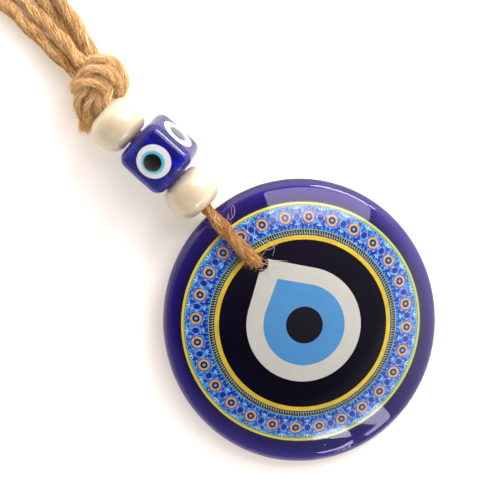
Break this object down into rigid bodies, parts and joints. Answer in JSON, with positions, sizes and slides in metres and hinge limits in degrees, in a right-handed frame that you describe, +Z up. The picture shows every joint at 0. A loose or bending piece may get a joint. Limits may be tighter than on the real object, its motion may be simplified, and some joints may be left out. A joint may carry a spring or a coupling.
{
  "type": "evil eye ornament",
  "caption": "Domed blue glass disc with a printed eye and patterned border, hung under glass and ivory beads on a knotted jute cord loop.",
  "frame": {"origin": "centre of the glass disc's flat back", "axes": "+Y from the disc towards the hanging loop, +Z up from the level surface that the ornament lies on, +X across the disc"},
  "size_m": [0.075, 0.2006, 0.0167],
  "materials": {
    "cobalt_glass": "gloss",
    "yellow_print": "gloss",
    "pattern_print": "gloss",
    "gold_print": "gloss",
    "chain_print": "gloss",
    "white_print": "gloss",
    "blue_print": "gloss",
    "black_print": "gloss",
    "ivory_bead": "gloss",
    "bead_glass": "gloss",
    "eye_white": "gloss",
    "eye_blue": "gloss",
    "eye_black": "gloss",
    "jute": "rough"
  },
  "bodies": {
    "cord_and_knot": {"knot": "jute", "disc_strand": "jute", "bead_core_cord": "jute", "outer_loop_cord": "jute", "inner_loop_cord": "jute", "long_tail": "jute", "short_tail": "jute"},
    "disc": {"glass_disc": "cobalt_glass", "print_outer_border": "yellow_print", "print_pattern_band": "pattern_print", "print_flowers": "gold_print", "print_chain_ring": "chain_print", "print_inner_border": "yellow_print", "print_white_drop": "white_print", "print_blue_drop": "blue_print", "print_pupil": "black_print"},
    "lower_bead_body": {"lower_bead": "ivory_bead"},
    "cube_bead_body": {"cube_bead_glass": "bead_glass", "cube_eye_whites": "eye_white", "cube_eye_irises": "eye_blue", "cube_eye_pupils": "eye_black"},
    "upper_bead_body": {"upper_bead": "ivory_bead"}
  },
  "joints": [
    {"name": "disc_swing", "type": "hinge", "parent": "cord_and_knot", "child": "disc", "pos_m": [-0.0005, 0.02037, 0.00107], "axis": [0, -0.0523, 0.9986], "range_deg": [-7, 23]},
    {"name": "lower_bead_spin", "type": "hinge", "parent": "cord_and_knot", "child": "lower_bead_body", "pos_m": [-0.00447, 0.04484, 0.00555], "axis": [-0.1392, 0.9903, 0], "continuous": true},
    {"name": "cube_bead_spin", "type": "hinge", "parent": "cord_and_knot", "child": "cube_bead_body", "pos_m": [-0.00577, 0.05834, 0.00643], "axis": [-0.2334, 0.9724, 0], "continuous": true},
    {"name": "upper_bead_spin", "type": "hinge", "parent": "cord_and_knot", "child": "upper_bead_body", "pos_m": [-0.0105, 0.07093, 0.00555], "axis": [-0.225, 0.9744, 0], "continuous": true}
  ]
}
